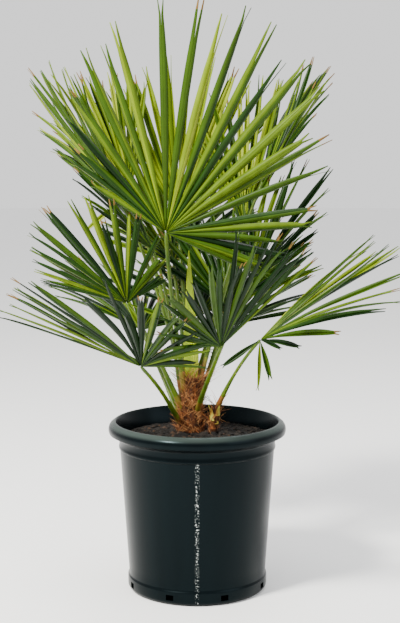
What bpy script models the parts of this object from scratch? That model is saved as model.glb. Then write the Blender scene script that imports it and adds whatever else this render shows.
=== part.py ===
"""Potted European fan palm: a nursery container with its soil, a short fibrous trunk and its fan leaves.

Metres, +Z up. The origin is on the floor under the middle of the container, +X to the right, +Y to the back.
Each leaf is a petiole and a blade. A blade is one pleated sheet round its hub, cut between its leaflets.
"""

import math
import random
from typing import NamedTuple

import bmesh
import bpy
from mathutils import Vector
from mathutils.bvhtree import BVHTree
from mathutils.geometry import interpolate_bezier

CLEARANCE = 0.0003

POT_HEIGHT = 0.305
POT_SIDES = 48
POT_WALL = 0.0035
RIM_RADIUS = 0.160
MOUTH_RADIUS = 0.146
RIM_DEPTH = 0.020
RIM_TUCK = 0.031
COLLAR_RADIUS = 0.1405
COLLAR_FOOT = 0.257
STEP_IN = 0.0015
FOOT_RADIUS = 0.1235
FOOT_BAND = 0.0025
FOOT_BAND_HEIGHT = 0.024
CORNER_RADIUS = 0.008
FLOOR_RADIUS = FOOT_RADIUS - 0.006
DRAIN_HOLES = 8
DRAIN_WIDTH = 0.014
DRAIN_HEIGHT = 0.010

SOIL_EDGE = 0.274
SOIL_TOP = 0.283
SOIL_FLAT_RADIUS = 0.062

TRUNK_FOOT = Vector((-0.012, 0.010, SOIL_TOP + CLEARANCE))
TRUNK_TIP = Vector((-0.010, 0.010, 0.385))
TRUNK_FOOT_RADIUS = 0.0215
TRUNK_TIP_RADIUS = 0.0150
TRUNK_FLARE = 0.005
FLARE_HEIGHT = 0.012

OFFSHOOT_FOOT = Vector((0.026, -0.004, SOIL_TOP + CLEARANCE))
OFFSHOOT_TIP = Vector((0.037, -0.011, 0.335))
OFFSHOOT_FOOT_RADIUS = 0.0085
OFFSHOOT_TIP_RADIUS = 0.0060
OFFSHOOT_SWELL = 0.0015

SPEAR_TIP = Vector((-0.015, 0.010, 0.610))
SPEAR_WIDTH = 0.027
SPEAR_DEPTH = 0.015

PETIOLE_RADIUS = 0.0042
PETIOLE_FOOT_RADIUS = 0.0060
PETIOLE_SIDES = 6
PETIOLE_STATIONS = 8
PETIOLE_POINT = 0.012
SEAT_GAP = 0.0005
HUB_GAP = 0.0009

FOLD = 0.45
TAPER_POWER = 1.3
ROOT_SHARE = 0.55
WIDEST_AT = 0.40
THICKNESS_SHARE = 0.0105
LEAST_THICKNESS = 0.0026
SLEEVE_ROOM = 0.0006
SWINGS = (0.0, 0.07, -0.07, 0.14, -0.14, 0.21, -0.21)
SHORTER = (1.0, 0.86, 0.72, 0.58, 0.44, 0.0)

LEAF_GREEN = (0.160, 0.260, 0.030, 1.0)
PETIOLE_GREEN = (0.180, 0.270, 0.060, 1.0)
SPEAR_GREEN = (0.480, 0.580, 0.050, 1.0)
FIBRE_BROWN = (0.230, 0.100, 0.040, 1.0)
SOIL_BROWN = (0.030, 0.020, 0.014, 1.0)
POT_BLACK = (0.006, 0.009, 0.010, 1.0)


class Frond(NamedTuple):
    """One fan leaf. Lengths are metres, angles degrees and directions need no unit length.

    Left and right are as seen on the blade's upper face with its middle leaflet pointing up.
    A bunch over zero crowds the right hand leaflets, one under zero the left hand ones, and lost
    holds the places of the leaflets that are missing.
    """

    name: str
    foot_height: float
    foot_turn: float
    hub: tuple
    aim: tuple
    face: tuple
    spread: tuple
    count: int
    reach: float
    seed: int
    width: float = 0.012
    sides: tuple = (0.65, 0.65)
    cup: float = 5.0
    sag: float = 0.03
    bunch: float = 0.0
    stem: str = "trunk"
    lost: tuple = ()


class Leaflet(NamedTuple):
    """One leaflet: its run from the hub, its width and fold, and how far out it is joined to its neighbours."""

    way: Vector
    across: Vector
    up: Vector
    bend: Vector
    length: float
    width: float
    joined: float
    root_width: float


FRONDS = (
    Frond("front_tall", 0.356, 205, (-0.053, -0.100, 0.649), (0.05, -0.17, 0.98), (0.10, 0.98, 0.17),
          (110, 62), 27, 0.428, 154, width=0.016, sides=(0.46, 0.42), cup=3, sag=0.01, lost=(6, 18)),
    Frond("front_left_low", 0.298, 190, (-0.094, -0.150, 0.427), (-0.75, -0.39, 0.54), (0.24, 0.60, 0.76),
          (125, 30), 24, 0.272, 794, sides=(0.45, 0.95), bunch=0.55, lost=(12, 13, 14)),
    Frond("right_low", 0.0, 0, (0.109, -0.070, 0.461), (0.87, -0.22, 0.45), (-0.50, -0.34, 0.79),
          (34, 57), 18, 0.306, 165, sides=(0.84, 0.30), sag=0.10, bunch=-0.57, stem="offshoot",
          lost=(13, 15)),
    Frond("left_mid", 0.322, 200, (-0.122, -0.060, 0.524), (-0.69, -0.22, 0.68), (0.01, 0.95, 0.31),
          (103, 36), 24, 0.234, 867, sides=(0.36, 0.62), bunch=0.53, lost=(5, 12)),
    Frond("right_tall", 0.366, 25, (0.117, 0.060, 0.730), (0.56, 0.16, 0.81), (-0.80, -0.12, 0.58),
          (46, 50), 21, 0.252, 894, sides=(0.94, 0.78), sag=0.02, lost=(13,)),
    Frond("left_tall", 0.372, 152, (-0.136, 0.040, 0.696), (-0.66, 0.17, 0.73), (0.72, 0.43, 0.54),
          (40, 37), 20, 0.300, 35, sides=(0.78, 0.78), sag=0.02, lost=(15,)),
    Frond("right_mid", 0.338, 350, (0.099, 0.000, 0.562), (0.57, 0.09, 0.82), (-0.62, -0.61, 0.50),
          (54, 43), 19, 0.244, 941, sides=(0.75, 0.55), lost=(6, 10, 13)),
    Frond("front_right_low", 0.322, 312, (0.040, -0.170, 0.464), (0.27, -0.63, 0.72), (-0.42, 0.59, 0.68),
          (37, 80), 22, 0.248, 499, sides=(0.91, 0.60), sag=0.02, bunch=-0.48),
    Frond("back_tall", 0.376, 95, (-0.036, 0.178, 0.664), (0.08, 0.14, 0.99), (0.01, -0.99, 0.14),
          (38, 44), 17, 0.318, 594, width=0.013, sides=(0.85, 0.88), lost=(8, 13)),
    Frond("back_left_tall", 0.350, 134, (-0.123, 0.132, 0.705), (-0.51, 0.28, 0.81), (-0.12, -0.96, 0.25),
          (26, 38), 16, 0.255, 776, sides=(0.86, 0.85)),
    Frond("back_right", 0.350, 70, (0.084, 0.118, 0.656), (0.21, 0.27, 0.94), (-0.15, -0.94, 0.30),
          (44, 22), 14, 0.285, 644, sides=(0.64, 0.82)),
    Frond("left_back", 0.340, 178, (-0.078, 0.000, 0.612), (-0.73, 0.03, 0.68), (0.64, -0.30, 0.70),
          (41, 38), 17, 0.208, 807, sides=(0.62, 0.61)),
    Frond("middle_low", 0.326, 40, (0.055, 0.090, 0.500), (0.10, 0.54, 0.84), (0.00, -0.84, 0.54),
          (60, 59), 19, 0.234, 892, sides=(0.80, 0.85)),
    Frond("back_right_low", 0.304, 62, (0.054, 0.150, 0.452), (0.44, 0.80, 0.42), (-0.19, -0.39, 0.90),
          (60, 60), 21, 0.270, 54, sides=(0.75, 0.53), sag=0.10),
    Frond("back_left_low", 0.296, 150, (-0.105, 0.130, 0.450), (-0.43, 0.79, 0.43), (0.32, -0.31, 0.89),
          (54, 73), 20, 0.280, 682, sides=(0.68, 0.66), sag=0.10),
    Frond("back_low", 0.312, 95, (0.000, 0.165, 0.470), (0.01, 0.81, 0.59), (0.00, -0.59, 0.81),
          (61, 58), 20, 0.245, 313, sides=(0.88, 0.67), sag=0.10),
    Frond("back_mid", 0.336, 102, (-0.045, 0.150, 0.575), (-0.10, 0.71, 0.70), (0.10, -0.69, 0.72),
          (66, 66), 20, 0.252, 57, sides=(0.60, 0.90), sag=0.06),
)


def clear_scene():
    """Start from an empty file."""
    for item in list(bpy.data.objects):
        bpy.data.objects.remove(item, do_unlink=True)


def finish_material(name, colour, roughness):
    """A plain Principled material."""
    material = bpy.data.materials.new(name)
    material.use_nodes = True
    shader = material.node_tree.nodes["Principled BSDF"]
    shader.inputs["Base Color"].default_value = colour
    shader.inputs["Roughness"].default_value = roughness
    shader.inputs["Metallic"].default_value = 0.0
    return material


def object_from(shape, name, material, smooth=False):
    """Turn a bmesh into a named object with its material."""
    bmesh.ops.recalc_face_normals(shape, faces=shape.faces)
    mesh = bpy.data.meshes.new(name)
    shape.to_mesh(mesh)
    shape.free()
    mesh.materials.append(material)
    if smooth:
        mesh.shade_smooth()
        mesh.set_sharp_from_angle(angle=math.radians(35))
    made = bpy.data.objects.new(name, mesh)
    bpy.context.scene.collection.objects.link(made)
    return made


def loft(stations, sides):
    """A closed tube through stations of (centre, heading, half width across X, half depth)."""
    shape = bmesh.new()
    loops = []
    for number, (centre, heading, half_width, half_depth) in enumerate(stations):
        turn = Vector((0.0, 0.0, 1.0)).rotation_difference(heading).to_matrix().to_4x4()
        turn.translation = centre
        at_end = number in (0, len(stations) - 1)
        ring = bmesh.ops.create_circle(shape, cap_ends=at_end, segments=sides, radius=1.0)["verts"]
        bmesh.ops.scale(shape, verts=ring, vec=(half_width, half_depth, 1.0))
        bmesh.ops.transform(shape, verts=ring, matrix=turn)
        kept = set(ring)
        loops.append([edge for edge in shape.edges if set(edge.verts) <= kept])
    for lower, upper in zip(loops, loops[1:]):
        bmesh.ops.bridge_loops(shape, edges=lower + upper)
    return shape


def pot_outline():
    """The container's turned section: down its outside, under the foot and up its inside."""
    band_radius = FOOT_RADIUS + FOOT_BAND
    outside = [
        (MOUTH_RADIUS, POT_HEIGHT - 0.0012),
        (MOUTH_RADIUS + 0.0020, POT_HEIGHT),
        (RIM_RADIUS - 0.0065, POT_HEIGHT - 0.0030),
        (RIM_RADIUS - 0.0015, POT_HEIGHT - 0.0080),
        (RIM_RADIUS, POT_HEIGHT - 0.0130),
        (RIM_RADIUS - 0.0010, POT_HEIGHT - RIM_DEPTH),
        (COLLAR_RADIUS, POT_HEIGHT - RIM_TUCK),
        (COLLAR_RADIUS, COLLAR_FOOT),
        (COLLAR_RADIUS - STEP_IN, COLLAR_FOOT - STEP_IN),
        (FOOT_RADIUS, FOOT_BAND_HEIGHT + 0.004),
        (band_radius, FOOT_BAND_HEIGHT),
        (band_radius, CORNER_RADIUS),
    ]
    for degrees in (30, 60, 90):
        turn = math.radians(degrees)
        outside.append((
            band_radius - CORNER_RADIUS * (1.0 - math.cos(turn)),
            CORNER_RADIUS * (1.0 - math.sin(turn)),
        ))
    wall_top = POT_HEIGHT - RIM_TUCK
    inside = [
        (FLOOR_RADIUS, POT_WALL),
        (inner_radius(FOOT_BAND_HEIGHT), FOOT_BAND_HEIGHT),
        (inner_radius(wall_top), wall_top),
        (MOUTH_RADIUS - 0.0045, POT_HEIGHT - 0.0120),
    ]
    return outside, inside


def inner_radius(height):
    """The inside radius of the container's tapering wall at a height."""
    share = (height - FOOT_BAND_HEIGHT) / (COLLAR_FOOT - FOOT_BAND_HEIGHT)
    outer = FOOT_RADIUS + share * (COLLAR_RADIUS - STEP_IN - FOOT_RADIUS)
    return min(outer, COLLAR_RADIUS) - POT_WALL


def turned(points, sides):
    """Spin a section from axis to axis into a closed round solid."""
    shape = bmesh.new()
    corners = [shape.verts.new((radius, 0.0, height)) for radius, height in points]
    edges = [shape.edges.new(pair) for pair in zip(corners, corners[1:])]
    bmesh.ops.spin(
        shape, geom=corners + edges, cent=(0, 0, 0), axis=(0, 0, 1),
        angle=math.tau, steps=sides, use_merge=True,
    )
    bmesh.ops.remove_doubles(shape, verts=shape.verts, dist=0.00001)
    return shape


def make_pot(material):
    """The container: rolled rim, collar, tapering wall, foot band and drain holes round its bottom edge."""
    outside, inside = pot_outline()
    points = outside + [(0.0, 0.0), (0.0, POT_WALL)] + inside
    shape = turned(points + [outside[0]], POT_SIDES)
    pot = object_from(shape, "pot", material, smooth=True)
    for number in range(DRAIN_HOLES):
        turn = math.tau * (number + 0.5) / DRAIN_HOLES
        cut_drain(pot, number, turn)
    return pot


def cut_drain(pot, number, turn):
    """Cut one drain hole through the wall just above the bottom corner."""
    shape = bmesh.new()
    bmesh.ops.create_cube(shape, size=1.0)
    bmesh.ops.scale(shape, verts=shape.verts, vec=(0.030, DRAIN_WIDTH, DRAIN_HEIGHT))
    cutter = object_from(shape, f"drain_cutter_{number}", pot.data.materials[0])
    cutter.location = (
        FOOT_RADIUS * math.cos(turn), FOOT_RADIUS * math.sin(turn), CORNER_RADIUS + DRAIN_HEIGHT / 2,
    )
    cutter.rotation_euler = (0.0, 0.0, turn)
    cutter.hide_render = True
    cutter.display_type = "WIRE"
    cut = pot.modifiers.new(f"drain_{number}", "BOOLEAN")
    cut.object = cutter
    cut.operation = "DIFFERENCE"
    cut.solver = "EXACT"


def make_soil(material):
    """The soil that fills the container, with a flat crown where the stems stand."""
    gap = CLEARANCE
    lower = FOOT_BAND_HEIGHT
    points = [
        (0.0, POT_WALL + gap),
        (FLOOR_RADIUS - gap, POT_WALL + gap),
        (inner_radius(lower) - gap, lower),
        (inner_radius(SOIL_EDGE) - gap, SOIL_EDGE),
        (SOIL_FLAT_RADIUS, SOIL_TOP),
        (0.0, SOIL_TOP),
    ]
    return object_from(turned(points, POT_SIDES), "soil", material)


def trunk_radius(height):
    """The trunk's radius at a height over the floor: a straight taper and a flare at its foot."""
    share = (height - TRUNK_FOOT.z) / (TRUNK_TIP.z - TRUNK_FOOT.z)
    taper = TRUNK_FOOT_RADIUS + share * (TRUNK_TIP_RADIUS - TRUNK_FOOT_RADIUS)
    return taper + TRUNK_FLARE * math.exp(-(height - TRUNK_FOOT.z) / FLARE_HEIGHT)


def make_trunk(material):
    """The trunk, flared at its flat foot on the soil and tapering to the crown of leaf bases."""
    stations = []
    for share in (0.0, 0.06, 0.14, 0.3, 0.5, 0.7, 0.88, 1.0):
        centre = TRUNK_FOOT.lerp(TRUNK_TIP, share)
        radius = trunk_radius(centre.z)
        stations.append((centre, Vector((0, 0, 1)), radius, radius))
    return object_from(loft(stations, 16), "trunk", material, smooth=True)


def make_offshoot(material):
    """The small side stem at the front right of the trunk, which carries one leaf."""
    carried = next(frond for frond in FRONDS if frond.stem == "offshoot")
    stations = []
    for share in (0.0, 0.15, 0.4, 0.7, 1.0):
        centre = OFFSHOOT_FOOT.lerp(OFFSHOOT_TIP, share)
        swell = OFFSHOOT_SWELL * math.sin(math.pi * share)
        radius = OFFSHOOT_FOOT_RADIUS + share * (OFFSHOOT_TIP_RADIUS - OFFSHOOT_FOOT_RADIUS) + swell
        heading = offshoot_heading(Vector(carried.hub)) if share == 1.0 else Vector((0, 0, 1))
        stations.append((centre, heading, radius, radius))
    return object_from(loft(stations, 10), "offshoot", material, smooth=True)


def make_spear(material):
    """The new leaf, still folded, that rises from the top of the trunk."""
    foot = TRUNK_TIP + Vector((0.0, 0.0, CLEARANCE))
    stations = []
    for share, wide in ((0.0, 0.86), (0.12, 1.0), (0.30, 1.0), (0.52, 0.68), (0.76, 0.42), (1.0, 0.09)):
        centre = foot.lerp(SPEAR_TIP, share)
        stations.append((centre, Vector((0, 0, 1)), SPEAR_WIDTH * wide / 2, SPEAR_DEPTH * wide / 2))
    return object_from(loft(stations, 8), "spear_leaf", material, smooth=True)


def petiole_foot(frond, slide):
    """Where a petiole starts, just off its stem, and the way it leaves. Slide moves it in."""
    hub = Vector(frond.hub)
    if frond.stem == "offshoot":
        leave = offshoot_heading(hub)
        return OFFSHOOT_TIP + leave * CLEARANCE, leave
    turn = math.radians(frond.foot_turn)
    out = Vector((math.cos(turn), math.sin(turn), 0.0))
    share = (frond.foot_height - TRUNK_FOOT.z) / (TRUNK_TIP.z - TRUNK_FOOT.z)
    axis = TRUNK_FOOT.lerp(TRUNK_TIP, share)
    leave = ((hub - axis).normalized() * 0.8 + Vector((0, 0, 0.2))).normalized()
    lean = leave.cross(out).length
    away = trunk_radius(frond.foot_height) + PETIOLE_FOOT_RADIUS * lean + CLEARANCE - slide
    return axis + out * away, leave


def offshoot_heading(hub):
    """The way the leaf of the side stem leaves it."""
    return ((hub - OFFSHOOT_TIP).normalized() * 0.8 + Vector((0, 0, 0.2))).normalized()


def petiole_run(frond, slide):
    """The middle line of a petiole, from its stem to the blade's hub."""
    foot, leave = petiole_foot(frond, slide)
    hub = Vector(frond.hub)
    aim = Vector(frond.aim).normalized()
    arrive = ((hub - foot).normalized() * 0.7 + aim * 0.3).normalized()
    end = hub - arrive * HUB_GAP
    grip = (end - foot).length * 0.33
    return interpolate_bezier(foot, foot + leave * grip, end - arrive * grip, end, PETIOLE_STATIONS)


def petiole_shape(frond, slide):
    """The stalk of one leaf, ending in a point at the blade's hub."""
    run = petiole_run(frond, slide)
    tip_way = (run[-1] - run[-2]).normalized()
    run.insert(-1, run[-1] - tip_way * PETIOLE_POINT)
    foot_radius = OFFSHOOT_TIP_RADIUS if frond.stem == "offshoot" else PETIOLE_FOOT_RADIUS
    stations = []
    for number, centre in enumerate(run):
        before = run[max(number - 1, 0)]
        after = run[min(number + 1, len(run) - 1)]
        share = number / (len(run) - 2)
        radius = PETIOLE_RADIUS + (foot_radius - PETIOLE_RADIUS) * max(0.0, 1.0 - 2.5 * share)
        radius *= 1.0 - 0.15 * min(share, 1.0)
        if number == len(run) - 1:
            radius = 0.0007
        stations.append((centre, (after - before).normalized(), radius, radius))
    return loft(stations, PETIOLE_SIDES)


def make_petiole(frond, trunk_tree, material):
    """One stalk, slid in until its foot stands just off the trunk."""
    shape = petiole_shape(frond, 0.0)
    slide = 0.0
    for _ in range(2 if frond.stem == "trunk" else 0):
        gap = min(trunk_tree.find_nearest(vert.co)[3] for vert in shape.verts)
        slide += gap - SEAT_GAP
        shape.free()
        shape = petiole_shape(frond, slide)
    return object_from(shape, f"petiole_{frond.name}", material, smooth=True)


def fan_axes(frond):
    """The blade's own directions: its middle leaflet, its right hand side and its upper face."""
    aim = Vector(frond.aim).normalized()
    side = aim.cross(Vector(frond.face)).normalized()
    return aim, side, side.cross(aim)


def fan_leaflets(frond):
    """The leaflets of one blade, from its left to its right, each a little off the even rule."""
    chance = random.Random(frond.seed)
    aim, side, face = fan_axes(frond)
    left, right = (math.radians(angle) for angle in frond.spread)
    step = (left + right) / (frond.count - 1)
    lift = math.radians(frond.cup)
    found = []
    for place in range(frond.count):
        share = place / (frond.count - 1)
        moved = share + frond.bunch * share * (1 - share)
        local_step = step * (1 + frond.bunch * (1 - 2 * share))
        turn = (left + right) * moved - left + local_step * chance.uniform(-0.16, 0.16)
        flat = aim * math.cos(turn) + side * math.sin(turn)
        way = flat * math.cos(lift) + face * math.sin(lift)
        across = side * math.cos(turn) - aim * math.sin(turn)
        end_share, edge_turn = (frond.sides[0], left) if turn < 0 else (frond.sides[1], right)
        fall = (1 - end_share) * min(abs(turn) / edge_turn, 1.0) ** TAPER_POWER
        length = frond.reach * (1 - fall) * chance.uniform(0.90, 1.0)
        level = Vector((0, 0, -1)) - way * way.dot(Vector((0, 0, -1)))
        bend = level * frond.sag * chance.uniform(0.6, 1.4) + across * chance.uniform(-0.03, 0.03)
        root_width = frond.width * ROOT_SHARE
        joined = min(max(root_width / local_step, 0.12 * length), 0.42 * length)
        root_width = min(root_width, joined * local_step)
        free_step = 0.9 * local_step * (joined + WIDEST_AT * (length - joined))
        width = min(frond.width * chance.uniform(0.8, 1.0), free_step)
        if place not in frond.lost:
            up = across.cross(way)
            found.append(Leaflet(way, across, up, bend, length, width, joined, root_width))
    return found


def run_point(hub, leaflet, reach, out):
    """The point of a leaflet's rib at a distance from the hub."""
    return hub + leaflet.way * out + leaflet.bend * (out * out / reach)


def sleeve(frond, leaflet, thickness):
    """A thin box round the free part of a leaflet, a little larger than its solid."""
    hub = Vector(frond.hub)
    low = thickness / 2 + SLEEVE_ROOM
    widest = leaflet.joined + WIDEST_AT * (leaflet.length - leaflet.joined)
    rings = (
        (leaflet.joined * 1.35, leaflet.root_width * 0.56),
        (max(leaflet.joined * 1.4, widest), leaflet.width / 2 + SLEEVE_ROOM),
        (leaflet.length + SLEEVE_ROOM, leaflet.width / 4),
    )
    points = []
    for out, half_width in rings:
        middle = run_point(hub, leaflet, frond.reach, out)
        high = FOLD * half_width + low
        for right, up in ((-half_width, -low), (half_width, -low), (half_width, high), (-half_width, high)):
            points.append(middle + leaflet.across * right + leaflet.up * up)
    faces = [(0, 1, 2, 3), (8, 9, 10, 11)]
    for ring in (0, 4):
        for corner in range(4):
            after = (corner + 1) % 4
            faces.append((ring + corner, ring + after, ring + 4 + after, ring + 4 + corner))
    return BVHTree.FromPolygons(points, faces)


def keep_clear(frond, leaflet, thickness, others, mates):
    """Swing a leaflet up or down, and shorten it if it must be, until it touches nothing."""
    shortest = leaflet.joined * 1.3
    for share in SHORTER:
        for swing in SWINGS:
            tried = leaflet._replace(
                bend=leaflet.bend + leaflet.up * swing,
                length=max(leaflet.length * share, shortest),
            )
            box = sleeve(frond, tried, thickness)
            if not any(tree.overlap(box) for tree in others + mates):
                return tried, box
    return tried, box


def blade_sheet(frond, leaflets):
    """One pleated sheet round the hub: ribs low, shared edges high, cut between the free leaflets."""
    hub = Vector(frond.hub)
    shape = bmesh.new()
    middle = shape.verts.new(hub)
    ribs = [run_point(hub, leaf, frond.reach, leaf.joined) for leaf in leaflets]
    first, last = leaflets[0], leaflets[-1]
    edges = [ribs[0] + (first.up * FOLD - first.across) * first.root_width / 2]
    for left, right, before, after in zip(ribs, ribs[1:], leaflets, leaflets[1:]):
        up = (before.up + after.up).normalized()
        edges.append((left + right) / 2 + up * FOLD * (right - left).length / 2)
    edges.append(ribs[-1] + (last.up * FOLD + last.across) * last.root_width / 2)
    rib_corners = [shape.verts.new(point) for point in ribs]
    edge_corners = [shape.verts.new(point) for point in edges]
    for number, leaf in enumerate(leaflets):
        left, rib, right = edge_corners[number], rib_corners[number], edge_corners[number + 1]
        shape.faces.new((middle, rib, left))
        shape.faces.new((middle, right, rib))
        half = leaf.width / 2
        out = leaf.joined + WIDEST_AT * (leaf.length - leaf.joined)
        centre = run_point(hub, leaf, frond.reach, out)
        raised = centre + leaf.up * FOLD * half
        next_left = shape.verts.new(raised - leaf.across * half)
        next_rib = shape.verts.new(centre)
        next_right = shape.verts.new(raised + leaf.across * half)
        tip = shape.verts.new(run_point(hub, leaf, frond.reach, leaf.length) + leaf.up * FOLD * half * 0.4)
        shape.faces.new((left, rib, next_rib, next_left))
        shape.faces.new((rib, right, next_right, next_rib))
        shape.faces.new((next_left, next_rib, tip))
        shape.faces.new((next_rib, next_right, tip))
    return shape


def blade_thickness(frond):
    """A blade is a hundredth of its length thick, and never thinner than the least a solid keeps."""
    return max(frond.reach * THICKNESS_SHARE, LEAST_THICKNESS)


def make_blade(frond, leaflets, material):
    """Give the pleated sheet its thickness."""
    blade = object_from(blade_sheet(frond, leaflets), f"blade_{frond.name}", material)
    wall = blade.modifiers.new("thickness", "SOLIDIFY")
    wall.thickness = blade_thickness(frond)
    wall.offset = 0.0
    wall.use_even_offset = False
    return blade


def solid_tree(solid):
    """A search tree of an object's finished surface."""
    return BVHTree.FromObject(solid, bpy.context.evaluated_depsgraph_get())


def joined_tree(frond, leaflets):
    """A search tree of the joined middle of a blade, thick enough to stand for its solid."""
    hub = Vector(frond.hub)
    half = blade_thickness(frond) / 2 + 0.0006
    faces = []
    points = []
    for before, after in zip(leaflets, leaflets[1:]):
        for height in (-half, half + FOLD * before.width / 2):
            start = len(points)
            points.append(hub + before.up * height)
            points.append(run_point(hub, before, frond.reach, before.joined) + before.up * height)
            points.append(run_point(hub, after, frond.reach, after.joined) + after.up * height)
            faces.append((start, start + 1, start + 2))
    return BVHTree.FromPolygons(points, faces)


def make_fronds(trunk, fixed, blade_material, petiole_material):
    """All petioles first, then the blades in the table's order, each clear of what is there already."""
    trunk_tree = solid_tree(trunk)
    petioles = [make_petiole(frond, trunk_tree, petiole_material) for frond in FRONDS]
    plans = [fan_leaflets(frond) for frond in FRONDS]
    middles = [joined_tree(frond, plan) for frond, plan in zip(FRONDS, plans)]
    trees = [solid_tree(solid) for solid in fixed + petioles]
    for number, (frond, plan) in enumerate(zip(FRONDS, plans)):
        others = trees + middles[:number] + middles[number + 1:]
        thickness = blade_thickness(frond)
        kept = []
        boxes = []
        for leaflet in plan:
            clear, box = keep_clear(frond, leaflet, thickness, others, boxes[-3:])
            kept.append(clear)
            boxes.append(box)
        make_blade(frond, kept, blade_material)
        trees += boxes


def main():
    clear_scene()
    pot = make_pot(finish_material("pot_plastic", POT_BLACK, 0.35))
    soil = make_soil(finish_material("soil", SOIL_BROWN, 0.95))
    trunk = make_trunk(finish_material("trunk_fibre", FIBRE_BROWN, 0.90))
    offshoot = make_offshoot(finish_material("offshoot_sheath", FIBRE_BROWN, 0.85))
    spear = make_spear(finish_material("spear_green", SPEAR_GREEN, 0.45))
    make_fronds(
        trunk,
        [pot, soil, trunk, offshoot, spear],
        finish_material("blade_green", LEAF_GREEN, 0.50),
        finish_material("petiole_green", PETIOLE_GREEN, 0.50),
    )


if __name__ == "__main__":
    main()
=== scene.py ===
"""Looks of a potted fan palm: turned pot, crumbly soil, fibrous stem, thorny stalks and folded fan leaves.

Each fan is laid out by the rule of the solid blade that it stands for, with finer, folded leaflets.
Leaflets that the solids cut short are grown back, and a few hanging ones have no solid.
"""

import math
import random
from typing import NamedTuple

import bmesh
import bpy
from mathutils import Matrix, Vector
from mathutils.bvhtree import BVHTree
from mathutils.geometry import interpolate_bezier


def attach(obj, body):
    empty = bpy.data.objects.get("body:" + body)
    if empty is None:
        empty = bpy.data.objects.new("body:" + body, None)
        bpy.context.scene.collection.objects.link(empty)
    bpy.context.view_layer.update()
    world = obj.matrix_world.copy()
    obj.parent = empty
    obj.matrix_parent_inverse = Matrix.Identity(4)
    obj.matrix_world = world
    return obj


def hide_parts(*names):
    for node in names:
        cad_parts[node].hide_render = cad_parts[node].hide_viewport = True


bl_info = {
    "name": "Potted Fan Palm",
    "version": (1, 0, 0),
    "blender": (4, 5, 0),
    "location": "View3D > Sidebar > Palm",
    "description": "Builds a potted fan palm around its solid model",
    "category": "Add Mesh",
}

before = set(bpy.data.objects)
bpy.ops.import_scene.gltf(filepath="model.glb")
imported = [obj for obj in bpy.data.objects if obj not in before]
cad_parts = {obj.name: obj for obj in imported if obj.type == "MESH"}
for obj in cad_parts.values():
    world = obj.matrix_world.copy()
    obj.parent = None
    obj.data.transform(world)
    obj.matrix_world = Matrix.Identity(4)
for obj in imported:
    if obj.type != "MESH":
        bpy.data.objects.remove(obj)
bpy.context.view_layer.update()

POT_HEIGHT = 0.305
RIM_RADIUS = 0.160
MOUTH_RADIUS = 0.146
COLLAR_RADIUS = 0.1405
COLLAR_FOOT = 0.257
FOOT_RADIUS = 0.1235
FOOT_BAND = 0.0025
FOOT_BAND_HEIGHT = 0.024
STEP_IN = 0.0015
WALL = 0.0035
CORNER = 0.008
SOIL_EDGE = 0.274
SOIL_TOP = 0.283
SOIL_FLAT_RADIUS = 0.062
TRUNK_FOOT = Vector((-0.012, 0.010, 0.2833))
TRUNK_TIP = Vector((-0.010, 0.010, 0.385))
TRUNK_FOOT_RADIUS = 0.0215
TRUNK_TIP_RADIUS = 0.0150
OFFSHOOT_FOOT = Vector((0.026, -0.004, 0.2833))
OFFSHOOT_TIP = Vector((0.037, -0.011, 0.335))
SPEAR_TIP = Vector((-0.015, 0.010, 0.610))
TRUNK_FLARE = 0.005
FLARE_HEIGHT = 0.012
DRAIN_HOLES = 8
DRAIN_SIZE = (0.030, 0.014, 0.010)

FOLD = 0.45
TAPER_POWER = 1.3
ROOT_SHARE = 0.55
LEAF_FOLD = 0.95
FULLER = 1.04
OPENER = 0.50
ROOT_GROWTH = 1.12
GROWN_BACK = 0.86
LEAF_STATIONS = 17
LEAF_START = 0.012
LEAST_HALF_WIDTH = 0.0004
SPLIT_OPENING = 0.30
FINE_WIDEST_AT = 0.52
BLUNT_TIP = 0.16
DRY_SLOT = 6
SPEAR_HALF_WIDTH = 0.0135
SPEAR_HALF_DEPTH = 0.0085
SPEAR_PROFILE = ((0.0, 0.80), (0.12, 1.0), (0.30, 1.0), (0.52, 0.68), (0.76, 0.42), (1.0, 0.05))

CLOD_TONES = (0, 1, 0, 1, 0, 1, 2)
CLOD_CORNERS = (
    (0, 0, 1), (1, 0, 0.2), (0.4, 0.9, 0), (-0.7, 0.7, 0.1), (-0.9, -0.4, 0), (0.2, -1, 0.1), (0, 0, -0.7),
)
SOIL_DEPTH = 0.235

STALK_STATIONS = 30
STALK_SIDES = 9
STALK_RADIUS = 0.0040
STALK_FOOT_RADIUS = 0.0062
STALK_SINK = 0.003
STALK_FOOT_RINGS = 3
THORN_SPACING = 0.011
THORN_SEAT = 0.0034
POT_SHARP_ANGLE = 38
SWINGS = (0.0, 0.07, -0.07, 0.14, -0.14, 0.21, -0.21)
SHORTER = (1.0, 0.86, 0.72, 0.58, 0.44, 0.0)
WIDEST_AT = 0.40


class Frond(NamedTuple):
    """One fan leaf: the same numbers as its solid blade, and its tones from its first to its last leaflet,
    partly the leaflets' own greens and partly painted light and shade.
    """

    name: str
    foot_height: float
    foot_turn: float
    hub: tuple
    aim: tuple
    face: tuple
    spread: tuple
    count: int
    reach: float
    seed: int
    tones: tuple
    width: float = 0.012
    sides: tuple = (0.65, 0.65)
    cup: float = 5.0
    sag: float = 0.03
    bunch: float = 0.0
    stem: str = "trunk"
    lost: tuple = ()


class Leaflet(NamedTuple):
    """One leaflet's run from the hub, its width, and how far out it is joined to its neighbours."""

    way: Vector
    across: Vector
    up: Vector
    bend: Vector
    length: float
    width: float
    joined: float
    root_width: float


# The tones across each fan are partly painted light and shade: dark where a fan lies in shade, bright and
# pale where it is lit.
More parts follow.
